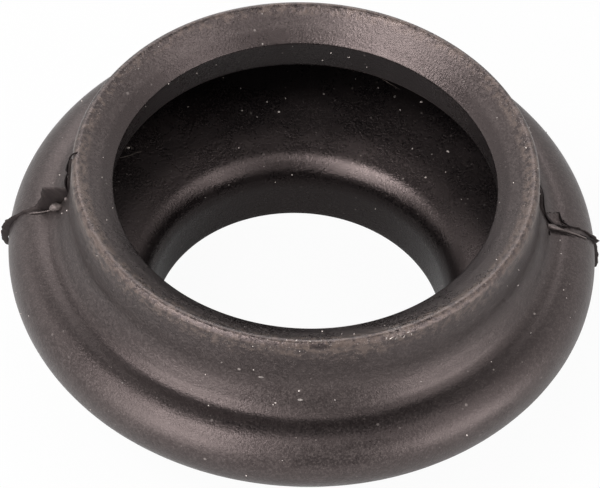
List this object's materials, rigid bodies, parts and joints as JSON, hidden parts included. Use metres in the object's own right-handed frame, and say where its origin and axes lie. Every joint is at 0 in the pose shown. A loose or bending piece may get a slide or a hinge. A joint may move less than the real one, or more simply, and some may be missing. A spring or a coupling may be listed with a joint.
{
  "type": "rubber bellows",
  "caption": "Moulded rubber bellows ring: thick-lipped funnel mouth on a short neck, one wide hollow convolution, sloping floor and a plain collar to clamp on a tube.",
  "frame": {"origin": "centre of the collar's flat foot ring, which the part stands on", "axes": "+Z along the bellows' axis, up through the mouth; the mould's parting line lies in the XZ plane"},
  "size_m": [0.1024, 0.1, 0.0417],
  "materials": {
    "rubber": "semi-gloss moulded black rubber with dust and bloom"
  },
  "bodies": {
    "root": {"bellows": "rubber"}
  },
  "joints": []
}
